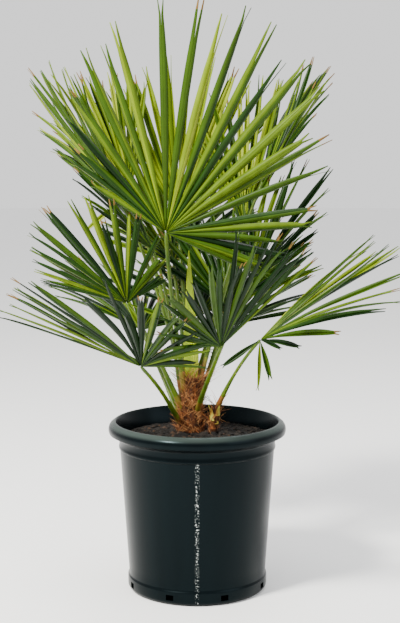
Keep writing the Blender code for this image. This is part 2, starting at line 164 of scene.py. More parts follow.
FRONDS = (
    Frond("front_tall", 0.356, 205, (-0.053, -0.100, 0.649), (0.05, -0.17, 0.98), (0.10, 0.98, 0.17),
          (110, 62), 27, 0.428, 154, (0.25, 0.62, 0.5), width=0.016, sides=(0.46, 0.42), cup=3, sag=0.01,
          lost=(6, 18)),
    Frond("front_left_low", 0.298, 190, (-0.094, -0.150, 0.427), (-0.75, -0.39, 0.54), (0.24, 0.60, 0.76),
          (125, 30), 24, 0.272, 794, (0.25, 0.1, 0.4), sides=(0.45, 0.95), bunch=0.55, lost=(12, 13, 14)),
    Frond("right_low", 0.0, 0, (0.109, -0.070, 0.461), (0.87, -0.22, 0.45), (-0.50, -0.34, 0.79),
          (34, 57), 18, 0.306, 165, (0.75, 0.5, 0.3), sides=(0.84, 0.30), sag=0.10, bunch=-0.57,
          stem="offshoot", lost=(13, 15)),
    Frond("left_mid", 0.322, 200, (-0.122, -0.060, 0.524), (-0.69, -0.22, 0.68), (0.01, 0.95, 0.31),
          (103, 36), 24, 0.234, 867, (0.45, 0.6, 0.35), sides=(0.36, 0.62), bunch=0.53, lost=(5, 12)),
    Frond("right_tall", 0.366, 25, (0.117, 0.060, 0.730), (0.56, 0.16, 0.81), (-0.80, -0.12, 0.58),
          (46, 50), 21, 0.252, 894, (0.5, 0.65, 0.4), sides=(0.94, 0.78), sag=0.02, lost=(13,)),
    Frond("left_tall", 0.372, 152, (-0.136, 0.040, 0.696), (-0.66, 0.17, 0.73), (0.72, 0.43, 0.54),
          (40, 37), 20, 0.300, 35, (0.6, 0.7, 0.55), sides=(0.78, 0.78), sag=0.02, lost=(15,)),
    Frond("right_mid", 0.338, 350, (0.099, 0.000, 0.562), (0.57, 0.09, 0.82), (-0.62, -0.61, 0.50),
          (54, 43), 19, 0.244, 941, (0.6, 0.5, 0.1), sides=(0.75, 0.55), lost=(6, 10, 13)),
    Frond("front_right_low", 0.322, 312, (0.040, -0.170, 0.464), (0.27, -0.63, 0.72), (-0.42, 0.59, 0.68),
          (37, 80), 22, 0.248, 499, (0.35, 0.15, 0.25), sides=(0.91, 0.60), sag=0.02, bunch=-0.48),
    Frond("back_tall", 0.376, 95, (-0.036, 0.178, 0.664), (0.08, 0.14, 0.99), (0.01, -0.99, 0.14),
          (38, 44), 17, 0.318, 594, (0.7, 0.95, 0.7), width=0.013, sides=(0.85, 0.88), lost=(8, 13)),
    Frond("back_left_tall", 0.350, 134, (-0.123, 0.132, 0.705), (-0.51, 0.28, 0.81), (-0.12, -0.96, 0.25),
          (26, 38), 16, 0.255, 776, (0.7, 0.9, 0.65), sides=(0.86, 0.85)),
    Frond("back_right", 0.350, 70, (0.084, 0.118, 0.656), (0.21, 0.27, 0.94), (-0.15, -0.94, 0.30),
          (44, 22), 14, 0.285, 644, (0.7, 0.85, 0.6), sides=(0.64, 0.82)),
    Frond("left_back", 0.340, 178, (-0.078, 0.000, 0.612), (-0.73, 0.03, 0.68), (0.64, -0.30, 0.70),
          (41, 38), 17, 0.208, 807, (0.35, 0.4, 0.2), sides=(0.62, 0.61)),
    Frond("middle_low", 0.326, 40, (0.055, 0.090, 0.500), (0.10, 0.54, 0.84), (0.00, -0.84, 0.54),
          (60, 59), 19, 0.234, 892, (0.3, 0.35, 0.2), sides=(0.80, 0.85)),
    Frond("back_right_low", 0.304, 62, (0.054, 0.150, 0.452), (0.44, 0.80, 0.42), (-0.19, -0.39, 0.90),
          (60, 60), 21, 0.270, 54, (0.4, 0.4, 0.3), sides=(0.75, 0.53), sag=0.10),
    Frond("back_left_low", 0.296, 150, (-0.105, 0.130, 0.450), (-0.43, 0.79, 0.43), (0.32, -0.31, 0.89),
          (54, 73), 20, 0.280, 682, (0.35, 0.4, 0.3), sides=(0.68, 0.66), sag=0.10),
    Frond("back_low", 0.312, 95, (0.000, 0.165, 0.470), (0.01, 0.81, 0.59), (0.00, -0.59, 0.81),
          (61, 58), 20, 0.245, 313, (0.3, 0.35, 0.3), sides=(0.88, 0.67), sag=0.10),
    Frond("back_mid", 0.336, 102, (-0.045, 0.150, 0.575), (-0.10, 0.71, 0.70), (0.10, -0.69, 0.72),
          (66, 66), 20, 0.252, 57, (0.4, 0.5, 0.4), sides=(0.60, 0.90), sag=0.06),
)


DROOPING = {
    "right_low": (((0.019, -0.006, -0.067), 0.070, 0.009), ((-0.005, -0.010, -0.087), 0.085, 0.008),
                  ((-0.071, -0.010, -0.045), 0.080, 0.009)),
    "left_tall": (((-0.064, -0.020, -0.050), 0.085, 0.009),),
    "left_mid": (((0.030, -0.020, -0.050), 0.060, 0.009), ((0.060, -0.010, -0.020), 0.070, 0.008)),
}


class PalmSettings(bpy.types.PropertyGroup):
    """The sizes and colours that a user would change."""

    pot_sides: bpy.props.IntProperty(
        name="Pot Sides", description="Flats round the turned pot", default=144, min=24, max=256)
    fibre_count: bpy.props.IntProperty(
        name="Fibres", description="Loose brown fibres round the stem", default=1900, min=0, max=3000)
    clod_count: bpy.props.IntProperty(
        name="Clods", description="Crumbs and bark chips on the soil", default=1100, min=0, max=2000)
    leaf_thickness: bpy.props.FloatProperty(
        name="Leaf Thickness", description="Thickness of a leaflet", default=0.0006, min=0.0002, max=0.003,
        unit="LENGTH", precision=4)
    thorn_length: bpy.props.FloatProperty(
        name="Thorn Length", description="Length of the stalk's thorns", default=0.0055, min=0.0, max=0.02,
        unit="LENGTH", precision=4)
    # The darker greens stand partly for painted shade and the brighter and paler greens partly for painted
    # light, as the fans' tones deal them out.
    deep_green: bpy.props.FloatVectorProperty(
        name="Deep Green", description="Leaflets in the shade", subtype="COLOR",
        default=(0.0022, 0.0130, 0.0008))
    dark_green: bpy.props.FloatVectorProperty(
        name="Dark Green", description="Older leaflets", subtype="COLOR",
        default=(0.0090, 0.0330, 0.0010))
    mid_green: bpy.props.FloatVectorProperty(
        name="Mid Green", description="Most leaflets", subtype="COLOR",
        default=(0.030, 0.068, 0.0014))
    fresh_green: bpy.props.FloatVectorProperty(
        name="Fresh Green", description="Younger leaflets", subtype="COLOR",
        default=(0.078, 0.130, 0.0020))
    bright_green: bpy.props.FloatVectorProperty(
        name="Bright Green", description="Yellow green leaflets", subtype="COLOR",
        default=(0.150, 0.215, 0.0030))
    pale_green: bpy.props.FloatVectorProperty(
        name="Pale Green", description="The palest leaflets", subtype="COLOR",
        default=(0.235, 0.295, 0.020))
    pot_black: bpy.props.FloatVectorProperty(
        name="Pot Black", description="The pot's plastic", subtype="COLOR",
        default=(0.0004, 0.0010, 0.0012))
    fibre_brown: bpy.props.FloatVectorProperty(
        name="Fibre Brown", description="Most of the stem's fibres", subtype="COLOR",
        default=(0.360, 0.105, 0.022))
    soil_brown: bpy.props.FloatVectorProperty(
        name="Soil Brown", description="The soil", subtype="COLOR",
        default=(0.006, 0.0042, 0.0030))


def mottle_group():
    """A shader group: two colours mixed by soft noise, and a height for the bump."""
    if "mottle" in bpy.data.node_groups:
        return bpy.data.node_groups["mottle"]
    group = bpy.data.node_groups.new("mottle", "ShaderNodeTree")
    sockets = group.interface
    sockets.new_socket("Base", in_out="INPUT", socket_type="NodeSocketColor")
    sockets.new_socket("Shade", in_out="INPUT", socket_type="NodeSocketColor")
    sockets.new_socket("Size", in_out="INPUT", socket_type="NodeSocketFloat")
    sockets.new_socket("Stretch", in_out="INPUT", socket_type="NodeSocketVector")
    sockets.new_socket("Color", in_out="OUTPUT", socket_type="NodeSocketColor")
    sockets.new_socket("Height", in_out="OUTPUT", socket_type="NodeSocketFloat")
    nodes, links = group.nodes, group.links
    given = nodes.new("NodeGroupInput")
    out = nodes.new("NodeGroupOutput")
    place = nodes.new("ShaderNodeTexCoord")
    stretch = nodes.new("ShaderNodeVectorMath")
    stretch.operation = "MULTIPLY"
    noise = nodes.new("ShaderNodeTexNoise")
    noise.inputs["Detail"].default_value = 5.0
    spread = nodes.new("ShaderNodeMapRange")
    spread.inputs["From Min"].default_value = 0.36
    spread.inputs["From Max"].default_value = 0.66
    mix = nodes.new("ShaderNodeMix")
    mix.data_type = "RGBA"
    links.new(place.outputs["Object"], stretch.inputs[0])
    links.new(given.outputs["Stretch"], stretch.inputs[1])
    links.new(stretch.outputs["Vector"], noise.inputs["Vector"])
    links.new(given.outputs["Size"], noise.inputs["Scale"])
    links.new(noise.outputs["Fac"], spread.inputs["Value"])
    links.new(spread.outputs["Result"], mix.inputs["Factor"])
    links.new(given.outputs["Base"], mix.inputs["A"])
    links.new(given.outputs["Shade"], mix.inputs["B"])
    links.new(mix.outputs["Result"], out.inputs["Color"])
    links.new(noise.outputs["Fac"], out.inputs["Height"])
    return group


def finish(name, base, shade, size, roughness, bump=0.2, bump_depth=0.0004, stretch=(1, 1, 1), sheen=0.3):
    """A material that mixes two colours by the mottle group, with its bump."""
    if name in bpy.data.materials:
        return bpy.data.materials[name]
    material = bpy.data.materials.new(name)
    material.use_nodes = True
    nodes, links = material.node_tree.nodes, material.node_tree.links
    shader = nodes["Principled BSDF"]
    shader.inputs["Roughness"].default_value = roughness
    shader.inputs["Specular IOR Level"].default_value = sheen
    mottle = nodes.new("ShaderNodeGroup")
    mottle.node_tree = mottle_group()
    mottle.inputs["Base"].default_value = (*base, 1)
    mottle.inputs["Shade"].default_value = (*shade, 1)
    mottle.inputs["Size"].default_value = size
    mottle.inputs["Stretch"].default_value = stretch
    relief = nodes.new("ShaderNodeBump")
    relief.inputs["Strength"].default_value = bump
    relief.inputs["Distance"].default_value = bump_depth
    links.new(mottle.outputs["Color"], shader.inputs["Base Color"])
    links.new(mottle.outputs["Height"], relief.inputs["Height"])
    links.new(relief.outputs["Normal"], shader.inputs["Normal"])
    return material


def darker(colour, share):
    """A colour at a share of its strength."""
    return tuple(part * share for part in colour[:3])


def pot_finish(settings):
    """Black moulded plastic with faint streaks, a painted sheen of grey green on the rim's top, and painted
    glints dotted down the front seam.
    """
    base = tuple(settings.pot_black)
    material = finish("pot_plastic", base, darker(base, 1.9), 34, 0.26, 0.10, 0.0006, (1, 1, 0.08), 0.10)
    nodes, links = material.node_tree.nodes, material.node_tree.links
    shader = nodes["Principled BSDF"]
    shader.inputs["Specular Tint"].default_value = (0.55, 0.80, 0.90, 1)
    mottle = next(node for node in nodes if node.type == "GROUP")
    place = nodes.new("ShaderNodeTexCoord")
    split = nodes.new("ShaderNodeSeparateXYZ")
    links.new(place.outputs["Object"], split.inputs["Vector"])

    def ramp(source, low, high):
        node = nodes.new("ShaderNodeMapRange")
        node.interpolation_type = "SMOOTHSTEP"
        node.inputs["From Min"].default_value = low
        node.inputs["From Max"].default_value = high
        links.new(source, node.inputs["Value"])
        return node.outputs["Result"]

    def times(first, second):
        node = nodes.new("ShaderNodeMath")
        node.operation = "MULTIPLY"
        links.new(first, node.inputs[0])
        links.new(second, node.inputs[1])
        return node.outputs["Value"]

    def blend(mask, colour, below):
        node = nodes.new("ShaderNodeMix")
        node.data_type = "RGBA"
        links.new(mask, node.inputs["Factor"])
        links.new(below, node.inputs["A"])
        node.inputs["B"].default_value = (*colour, 1)
        return node.outputs["Result"]

    flat = nodes.new("ShaderNodeVectorMath")
    flat.operation = "MULTIPLY"
    flat.inputs[1].default_value = (1, 1, 0)
    reach = nodes.new("ShaderNodeVectorMath")
    reach.operation = "LENGTH"
    links.new(place.outputs["Object"], flat.inputs[0])
    links.new(flat.outputs["Vector"], reach.inputs[0])
    # Painted sheen: the top of the rolled rim is painted a lighter grey green, standing in for the light it
    # catches.
    rim_sheen_mask = times(ramp(split.outputs["Z"], POT_HEIGHT - 0.010, POT_HEIGHT - 0.003),
                     ramp(reach.outputs["Value"], MOUTH_RADIUS - 0.001, MOUTH_RADIUS + 0.003))
    colour = blend(rim_sheen_mask, (0.030, 0.040, 0.036), mottle.outputs["Color"])
    # Painted glints: near white specks in a dotted line down the front seam, below the collar, stand in for
    # glints of light on the seam.
    offset = nodes.new("ShaderNodeMath")
    offset.operation = "ABSOLUTE"
    links.new(split.outputs["X"], offset.inputs[0])
    seam = ramp(offset.outputs["Value"], 0.0050, 0.0006)
    front = ramp(split.outputs["Y"], -0.08, -0.10)
    low = ramp(split.outputs["Z"], COLLAR_FOOT + 0.002, COLLAR_FOOT - 0.004)
    glint_noise = nodes.new("ShaderNodeTexNoise")
    glint_noise.inputs["Scale"].default_value = 430
    glint_noise.inputs["Detail"].default_value = 5
    links.new(place.outputs["Object"], glint_noise.inputs["Vector"])
    glint_dots = ramp(glint_noise.outputs["Fac"], 0.57, 0.66)
    mask = times(times(seam, front), times(low, glint_dots))
    links.new(blend(mask, (0.62, 0.66, 0.64), colour), shader.inputs["Base Color"])
    return material


def object_from(name, points, faces, materials, slots=None, smooth=True):
    """A mesh object from joined arrays of corners and faces."""
    mesh = bpy.data.meshes.new(name)
    mesh.from_pydata(points, [], faces)
    for material in materials:
        mesh.materials.append(material)
    if slots:
        mesh.polygons.foreach_set("material_index", slots)
    if smooth:
        mesh.shade_smooth()
    mesh.update()
    made = bpy.data.objects.new(name, mesh)
    bpy.context.scene.collection.objects.link(made)
    return made


def object_from_shape(name, shape, materials, angle=None):
    """A mesh object from a bmesh, with its normals put right."""
    bmesh.ops.recalc_face_normals(shape, faces=shape.faces)
    mesh = bpy.data.meshes.new(name)
    shape.to_mesh(mesh)
    shape.free()
    for material in materials:
        mesh.materials.append(material)
    mesh.shade_smooth()
    if angle:
        mesh.set_sharp_from_angle(angle=math.radians(angle))
    made = bpy.data.objects.new(name, mesh)
    bpy.context.scene.collection.objects.link(made)
    return made


def hand_over(piece, slot, *nodes):
    """Ride the piece on the plant's one body and let it stand for its solids."""
    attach(piece, "root")
    if nodes:
        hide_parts(*nodes)
    return piece


def inner_radius(height):
    """The inside radius of the pot's wall at a height."""
    share = (height - FOOT_BAND_HEIGHT) / (COLLAR_FOOT - FOOT_BAND_HEIGHT)
    outer = FOOT_RADIUS + share * (COLLAR_RADIUS - STEP_IN - FOOT_RADIUS)
    return min(outer, COLLAR_RADIUS) - WALL


def pot_section():
    """The pot's turned section, from its mouth down the outside, under the foot and up the inside."""
    band = FOOT_RADIUS + FOOT_BAND
    points = [(MOUTH_RADIUS, POT_HEIGHT - 0.0012), (MOUTH_RADIUS + 0.0008, POT_HEIGHT - 0.0002)]
    points += [(MOUTH_RADIUS + 0.0020, POT_HEIGHT), (MOUTH_RADIUS + 0.0045, POT_HEIGHT - 0.0006)]
    points += [(RIM_RADIUS - 0.0065, POT_HEIGHT - 0.0028), (RIM_RADIUS - 0.0035, POT_HEIGHT - 0.0052)]
    points += [(RIM_RADIUS - 0.0014, POT_HEIGHT - 0.0085), (RIM_RADIUS - 0.0002, POT_HEIGHT - 0.0130)]
    points += [(RIM_RADIUS - 0.0004, POT_HEIGHT - 0.0170), (RIM_RADIUS - 0.0014, POT_HEIGHT - 0.0205)]
    points += [(RIM_RADIUS - 0.0040, POT_HEIGHT - 0.0212), (COLLAR_RADIUS + 0.0015, POT_HEIGHT - 0.0285)]
    points += [(COLLAR_RADIUS, POT_HEIGHT - 0.0310), (COLLAR_RADIUS, COLLAR_FOOT + 0.0050)]
    points += [(COLLAR_RADIUS + 0.0007, COLLAR_FOOT + 0.0035), (COLLAR_RADIUS + 0.0005, COLLAR_FOOT + 0.0006)]
    points += [(COLLAR_RADIUS - STEP_IN, COLLAR_FOOT - STEP_IN)]
    top_radius = COLLAR_RADIUS - STEP_IN
    for step in range(1, 12):
        share = step / 12
        height = COLLAR_FOOT - STEP_IN + share * (FOOT_BAND_HEIGHT + 0.004 - COLLAR_FOOT + STEP_IN)
        points.append((top_radius + share * (FOOT_RADIUS - top_radius), height))
    points += [(FOOT_RADIUS, FOOT_BAND_HEIGHT + 0.004), (FOOT_RADIUS + 0.0006, FOOT_BAND_HEIGHT + 0.0018)]
    points += [(band - 0.0004, FOOT_BAND_HEIGHT + 0.0002), (band, FOOT_BAND_HEIGHT - 0.0012)]
    points.append((band, CORNER))
    for degrees in (18, 36, 54, 72, 90):
        turn = math.radians(degrees)
        points.append((band - CORNER * (1 - math.cos(turn)), CORNER * (1 - math.sin(turn))))
    points += [(0.0, 0.0), (0.0, WALL), (FOOT_RADIUS - 0.006, WALL)]
    points += [(inner_radius(FOOT_BAND_HEIGHT), FOOT_BAND_HEIGHT), (inner_radius(0.274), 0.274)]
    points += [(MOUTH_RADIUS - 0.0045, POT_HEIGHT - 0.0120), (MOUTH_RADIUS - 0.0008, POT_HEIGHT - 0.0035)]
    return points


def turned(points, sides):
    """Spin a section round the upright axis into a closed shape."""
    shape = bmesh.new()
    corners = [shape.verts.new((radius, 0.0, height)) for radius, height in points]
    edges = [shape.edges.new(pair) for pair in zip(corners, corners[1:] + corners[:1])
             if not (pair[0].co.x == 0 and pair[1].co.x == 0)]
    bmesh.ops.spin(shape, geom=corners + edges, cent=(0, 0, 0), axis=(0, 0, 1),
                   angle=math.tau, steps=sides, use_merge=True)
    bmesh.ops.remove_doubles(shape, verts=shape.verts, dist=0.00001)
    return shape


def cut_drains(pot, dark):
    """Cut the drain holes round the pot's bottom edge."""
    shape = bmesh.new()
    for number in range(DRAIN_HOLES):
        turn = math.tau * (number + 0.5) / DRAIN_HOLES
        cube = bmesh.ops.create_cube(shape, size=1.0)["verts"]
        bmesh.ops.scale(shape, verts=cube, vec=DRAIN_SIZE)
        move = Matrix.Rotation(turn, 4, "Z") @ Matrix.Translation((FOOT_RADIUS, 0, CORNER + 0.005))
        bmesh.ops.transform(shape, verts=cube, matrix=move)
    cutter = object_from_shape("drain_cutter", shape, [dark])
    cut = pot.modifiers.new("drains", "BOOLEAN")
    cut.object = cutter
    cut.solver = "EXACT"
    mesh = bpy.data.meshes.new_from_object(pot.evaluated_get(bpy.context.evaluated_depsgraph_get()))
    pot.modifiers.clear()
    pot.data = mesh
    bpy.data.objects.remove(cutter, do_unlink=True)


def tube_faces(rings, sides):
    """The faces of a closed tube: its wall from the foot up, then its two ends."""
    faces = []
    for ring in range(rings - 1):
        low = ring * sides
        for side in range(sides):
            after = (side + 1) % sides
            faces.append((low + side, low + after, low + sides + after, low + sides + side))
    faces.append(tuple(reversed(range(sides))))
    faces.append(tuple((rings - 1) * sides + side for side in range(sides)))
    return faces


def trunk_radius(height):
    """The trunk's radius at a height: a straight taper and a flare at its foot."""
    share = (height - TRUNK_FOOT.z) / (TRUNK_TIP.z - TRUNK_FOOT.z)
    taper = TRUNK_FOOT_RADIUS + share * (TRUNK_TIP_RADIUS - TRUNK_FOOT_RADIUS)
    return taper + TRUNK_FLARE * math.exp(-(height - TRUNK_FOOT.z) / FLARE_HEIGHT)


def ribbon(points, faces, slots, run, widths, normal, slot):
    """Add one thin three sided strand along a run to the joined arrays."""
    start = len(points)
    for number, centre in enumerate(run):
        after = run[min(number + 1, len(run) - 1)]
        before = run[max(number - 1, 0)]
        way = (after - before).normalized()
        side = way.cross(normal).normalized()
        out = side.cross(way)
        half = widths[number] / 2
        points.extend((centre - side * half, centre + side * half, centre + out * half * 0.9))
    for number in range(len(run) - 1):
        low = start + number * 3
        for corner in range(3):
            after = (corner + 1) % 3
            faces.append((low + corner, low + after, low + 3 + after, low + 3 + corner))
            slots.append(slot)
    last = start + (len(run) - 1) * 3
    faces.append((start, start + 2, start + 1))
    faces.append((last, last + 1, last + 2))
    slots.extend((slot, slot))


def sheath(points, faces, slots, chance, foot, out, height, width, lean, slot):
    """Add one old leaf base: a curved, tapering plate that hugs the stem."""
    start = len(points)
    side = Vector((-out.y, out.x, 0))
    rows, columns = 6, 5
    for row in range(rows):
        share = row / (rows - 1)
        half = width / 2 * (1 - 0.72 * share ** 1.4)
        middle = foot + Vector((0, 0, height * share)) + out * (lean * share * share + 0.0012)
        for column in range(columns):
            place = column / (columns - 1) * 2 - 1
            wrap = -abs(place) ** 1.7 * half * 0.55
            fray = chance.uniform(-0.0012, 0.0012) if row == rows - 1 else 0
            points.append(middle + side * half * place + out * wrap + Vector((0, 0, fray * 3)))
    for row in range(rows - 1):
        for column in range(columns - 1):
            low = start + row * columns + column
            faces.append((low, low + 1, low + columns + 1, low + columns))
            slots.append(slot)


def fibre_run(chance, foot, out, length, rise, flare):
    """A curved run of five points for a loose fibre."""
    side = Vector((-out.y, out.x, 0))
    sway = chance.uniform(-1.1, 1.1)
    run = []
    for step in range(5):
        share = step / 4
        lift = Vector((0, 0, rise * length * share))
        stray = side * sway * length * share ** 1.5
        run.append(foot + lift + stray + out * (flare * length * share * share))
    return run


def make_stem(name, foot, tip, radius_at, sheaths, fibres, materials, seed, green_from):
    """A fibrous stem: a rough core, old leaf bases round it and loose fibres over them."""
    chance = random.Random(seed)
    points = []
    sides, rings = 28, 22
    for ring in range(rings):
        share = ring / (rings - 1)
        centre = foot.lerp(tip, share)
        for side in range(sides):
            turn = math.tau * side / sides
            rough = 1 + 0.05 * math.sin(turn * 7 + ring * 1.3) + chance.uniform(-0.05, 0.04)
            reach = radius_at(share) * 0.97 * rough
            points.append(centre + Vector((math.cos(turn) * reach, math.sin(turn) * reach, 0)))
    faces = tube_faces(rings, sides)
    slots = [0] * len(faces)
    for number in range(sheaths):
        share = (number + 0.5) / sheaths
        turn = number * 2.4 + chance.uniform(-0.2, 0.2)
        out = Vector((math.cos(turn), math.sin(turn), 0))
        low = share * 0.72
        at = foot.lerp(tip, low) + out * radius_at(low) * 0.97
        high = chance.uniform(0.26, 0.40) * (tip.z - foot.z)
        slot = chance.choice((0, 0, 1, 4)) if share < green_from else 3
        wide = radius_at(low) * 1.25
        lean = chance.uniform(0.0, 0.004)
        sheath(points, faces, slots, chance, at, out, high, wide, lean, slot)
    for number in range(fibres):
        turn = chance.uniform(0, math.tau)
        out = Vector((math.cos(turn), math.sin(turn), 0))
        share = chance.uniform(0.0, 0.98)
        at = foot.lerp(tip, share) + out * radius_at(share) * chance.uniform(0.95, 1.06)
        hanging = chance.random() < 0.30
        rise = -0.7 if hanging else chance.uniform(0.45, 1.0)
        length = chance.uniform(0.008, 0.026) * (0.7 if hanging else 2.1 if share > 0.72 else 1)
        flare = chance.uniform(0.02, 0.65 if share < 0.72 else 0.25)
        run = fibre_run(chance, at, out, length, rise, flare)
        thick = chance.uniform(0.0005, 0.0015)
        widths = [thick, thick, thick * 0.85, thick * 0.6, thick * 0.15]
        ribbon(points, faces, slots, run, widths, out, chance.choice((0, 1, 1, 2, 2, 4)))
    return object_from(name, points, faces, materials, slots)


def stem_materials(settings):
    """Browns of the fibres, the pale green of a young sheath and the orange of a bruised one."""
    brown = tuple(settings.fibre_brown)
    return [
        finish("fibre_brown", darker(brown, 0.30), darker(brown, 0.07), 190, 0.85, 0.6, 0.0012, (1, 1, 0.25)),
        finish("fibre_red", darker(brown, 0.85), darker(brown, 0.30), 240, 0.80, 0.5, 0.0008, (1, 1, 0.3)),
        finish("fibre_tan", (0.56, 0.28, 0.10), (0.26, 0.10, 0.03), 240, 0.82, 0.5, 0.0008, (1, 1, 0.3)),
        finish("young_sheath", (0.42, 0.44, 0.06), (0.50, 0.20, 0.02), 90, 0.50, 0.2, 0.0005, (1, 1, 0.4)),
        finish("fibre_dark", (0.030, 0.014, 0.008), (0.010, 0.006, 0.004), 220, 0.9, 0.4, 0.0008),
    ]


def leaf_materials(settings):
    """Six plain greens, from deep to pale, dealt out leaflet by leaflet, and the brown of a dry tip. The
    darker and paler greens also carry painted shade and light.
    """
    tones = (
        ("leaf_deep", settings.deep_green, 0.40), ("leaf_dark", settings.dark_green, 0.42),
        ("leaf_mid", settings.mid_green, 0.44), ("leaf_fresh", settings.fresh_green, 0.45),
        ("leaf_bright", settings.bright_green, 0.46), ("leaf_pale", settings.pale_green, 0.48),
        ("leaf_dry", (0.15, 0.085, 0.020), 0.70),
    )
    return [
        finish(name, tuple(colour), darker(colour, 0.72), 46, roughness, 0.12, 0.0003, (1, 1, 0.35), 0.12)
        for name, colour, roughness in tones
    ]


def fan_leaflets(frond):
    """The leaflets of one blade by the solid blade's own rule and order of chances."""
    chance = random.Random(frond.seed)
    aim = Vector(frond.aim).normalized()
    side = aim.cross(Vector(frond.face)).normalized()
    face = side.cross(aim)
    left, right = (math.radians(angle) for angle in frond.spread)
    step = (left + right) / (frond.count - 1)
    lift = math.radians(frond.cup)
    found = []
    for place in range(frond.count):
        share = place / (frond.count - 1)
        moved = share + frond.bunch * share * (1 - share)
        local_step = step * (1 + frond.bunch * (1 - 2 * share))
        turn = (left + right) * moved - left + local_step * chance.uniform(-0.16, 0.16)
        flat = aim * math.cos(turn) + side * math.sin(turn)
        way = flat * math.cos(lift) + face * math.sin(lift)
        across = side * math.cos(turn) - aim * math.sin(turn)
        end_share, edge_turn = (frond.sides[0], left) if turn < 0 else (frond.sides[1], right)
        fall = (1 - end_share) * min(abs(turn) / edge_turn, 1.0) ** TAPER_POWER
        length = frond.reach * (1 - fall) * chance.uniform(0.90, 1.0)
        level = Vector((0, 0, -1)) - way * way.dot(Vector((0, 0, -1)))
        bend = level * frond.sag * chance.uniform(0.6, 1.4) + across * chance.uniform(-0.03, 0.03)
        root_width = frond.width * ROOT_SHARE
        joined = min(max(root_width / local_step, 0.12 * length), 0.42 * length)
        root_width = min(root_width, joined * local_step)
        free_step = 0.9 * local_step * (joined + WIDEST_AT * (length - joined))
        width = min(frond.width * chance.uniform(0.8, 1.0), free_step)
        if place not in frond.lost:
            up = across.cross(way)
            found.append((share, Leaflet(way, across, up, bend, length, width, joined, root_width)))
    return found


def run_point(hub, leaflet, reach, out):
    """The point of a leaflet's rib at a distance from the hub."""
    return hub + leaflet.way * out + leaflet.bend * (out * out / reach)


def follow_solid(frond, leaflet, tree):
    """Infer the solid leaflet's swing from where its tip lies. It errs for a few, and cut ones grow back."""
    hub = Vector(frond.hub)
    best = None
    for share in SHORTER:
        for swing in SWINGS:
            tried = leaflet._replace(
                bend=leaflet.bend + leaflet.up * swing,
                length=max(leaflet.length * share, leaflet.joined * 1.3),
            )
            tip = run_point(hub, tried, frond.reach, tried.length)
            tip = tip + leaflet.up * FOLD * leaflet.width * 0.2
            away = tree.find_nearest(tip)[3]
            if best is None or away < best[0] - 0.0005:
                best = (away, tried)
    chosen = best[1]
    return chosen._replace(
        length=max(chosen.length, leaflet.length * GROWN_BACK),
        joined=chosen.joined * OPENER,
        root_width=chosen.root_width * OPENER * ROOT_GROWTH,
    )


def half_width(leaflet, out):
    """Half the width of a free leaflet at a distance from the hub."""
    share = (out - leaflet.joined) / (leaflet.length - leaflet.joined)
    if share < FINE_WIDEST_AT:
        eased = math.sin(max(share, 0) / FINE_WIDEST_AT * math.pi / 2)
        return (leaflet.root_width + (leaflet.width - leaflet.root_width) * eased) / 2
    past = (share - FINE_WIDEST_AT) / (1 - FINE_WIDEST_AT)
    return leaflet.width / 2 * (1 - (1 - BLUNT_TIP) * past ** 3.2)


def lamina(points, faces, slots, frond, leaf, mate, sign, split, curl, roll, dry, slot):
    """Add one half of a folded leaflet: hub to tip, joined to its neighbour's half near the hub."""
    hub = Vector(frond.hub)
    start = len(points)
    for number in range(LEAF_STATIONS):
        share = number / (LEAF_STATIONS - 1)
        out = leaf.length * (LEAF_START + (1 - LEAF_START) * share)
        rib = run_point(hub, leaf, frond.reach, out)
        rib += leaf.up * curl * max(0.0, share - 0.55) ** 2 * leaf.length
        turn = roll * max(0.0, out - leaf.joined) / (leaf.length - leaf.joined)
        across = leaf.across * math.cos(turn) + leaf.up * math.sin(turn)
        up = leaf.up * math.cos(turn) - leaf.across * math.sin(turn)
        half = max(half_width(leaf, out) * FULLER, LEAST_HALF_WIDTH)
        fold = LEAF_FOLD * (1 - 0.45 * share)
        edge = rib + across * sign * half + up * fold * half
        if mate and out < min(leaf.joined, mate.joined):
            other = run_point(hub, mate, frond.reach, out)
            gap = (other - rib) / 2
            edge = rib + gap + (leaf.up + mate.up).normalized() * LEAF_FOLD * gap.length
        elif out < leaf.joined:
            half = leaf.root_width / 2 * out / leaf.joined
            edge = rib + leaf.across * sign * half + leaf.up * LEAF_FOLD * half
        if share > 1 - split:
            open_by = (share - 1 + split) / split
            part = leaf.across * sign * open_by * leaf.width * SPLIT_OPENING
            rib = rib + part
            edge = edge + part * 1.05
        middle = (rib + edge) / 2 - leaf.up * (edge - rib).length * 0.05
        points.extend((rib, middle, edge))
    for number in range(LEAF_STATIONS - 1):
        low = start + number * 3
        for strip in (0, 1):
            face = (low + strip, low + strip + 1, low + strip + 4, low + strip + 3)
            faces.append(face if sign > 0 else face[::-1])
            slots.append(DRY_SLOT if number >= LEAF_STATIONS - 1 - dry else slot)


def tone_at(tones, share):
    """The tone at a place across the fan, from its three given tones."""
    if share < 0.5:
        return tones[0] + (tones[1] - tones[0]) * share * 2
    return tones[1] + (tones[2] - tones[1]) * (share - 0.5) * 2


def drooping(frond):
    """The few leaflets that hang away from the fan. No solid stands under them."""
    found = []
    for way, length, width in DROOPING.get(frond.name, ()):
        way = Vector(way).normalized()
        across = way.cross(Vector((0.15, -1, 0.1))).normalized()
        up = across.cross(way)
        sag = Vector((0, 0, -0.15))
        found.append((0.5, Leaflet(way, across, up, sag, length, width, length * 0.12, 0.002)))
    return found


